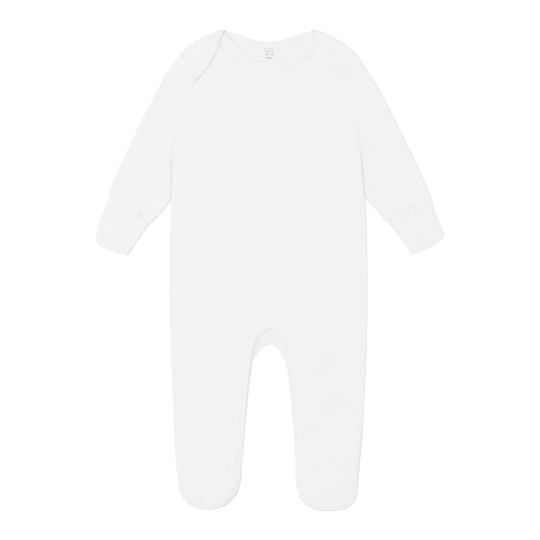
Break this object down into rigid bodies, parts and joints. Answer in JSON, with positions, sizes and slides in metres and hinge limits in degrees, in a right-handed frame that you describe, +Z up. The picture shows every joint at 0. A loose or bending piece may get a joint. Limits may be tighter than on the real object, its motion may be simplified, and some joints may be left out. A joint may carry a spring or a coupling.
{
  "type": "footed baby sleepsuit laid flat",
  "caption": "White footed baby sleepsuit laid flat: envelope neck with lapped shoulder flaps, long sleeves with doubled cuffs, arched inner-leg opening and closed feet.",
  "frame": {"origin": "centre of the footprint, on the table under the garment", "axes": "+Y from the feet to the neck, +X to the wearer's left, +Z up from the table, out of the garment's front"},
  "size_m": [0.4118, 0.5682, 0.0061],
  "materials": {
    "white_interlock": "matt cotton interlock knit",
    "white_doubled_band": "matt cotton interlock, folded double and stitched"
  },
  "bodies": {
    "root": {"back_panel": "white_interlock", "front_panel": "white_interlock", "neck_band_front": "white_doubled_band", "neck_band_back": "white_doubled_band", "inner_leg_band": "white_doubled_band", "sleeve_right": "white_interlock", "cuff_right": "white_doubled_band", "foot_upper_right": "white_interlock", "sole_right": "white_interlock", "sleeve_left": "white_interlock", "cuff_left": "white_doubled_band", "foot_upper_left": "white_interlock", "sole_left": "white_interlock"}
  },
  "joints": []
}
